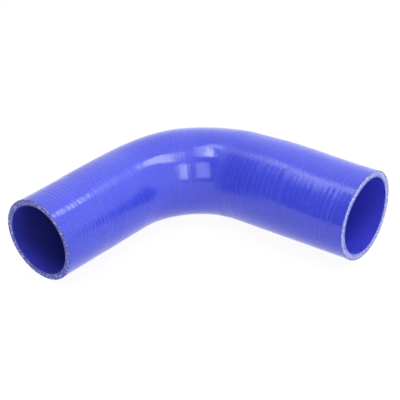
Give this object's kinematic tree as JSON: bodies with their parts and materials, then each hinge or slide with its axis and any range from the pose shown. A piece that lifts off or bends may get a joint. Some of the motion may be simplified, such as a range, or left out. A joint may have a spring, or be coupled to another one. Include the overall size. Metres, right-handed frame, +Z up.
{
  "type": "coolant pipe",
  "caption": "Right-angled silicone rubber coolant hose with a smooth round bore, a ribbed wrapped skin and square-cut ends, made to be clamped over pipe stubs.",
  "frame": {"origin": "middle of the hose's box, on the surface that it lies on", "axes": "+Z up; +X along the shorter leg towards its cut end; +Y along the longer leg towards its cut end"},
  "size_m": [0.2062, 0.2228, 0.0754],
  "materials": {
    "blue_silicone": "glossy blue silicone rubber, finely ribbed across where the wrapping tape lay"
  },
  "bodies": {
    "root": {"elbow_hose": "blue_silicone"}
  },
  "joints": []
}
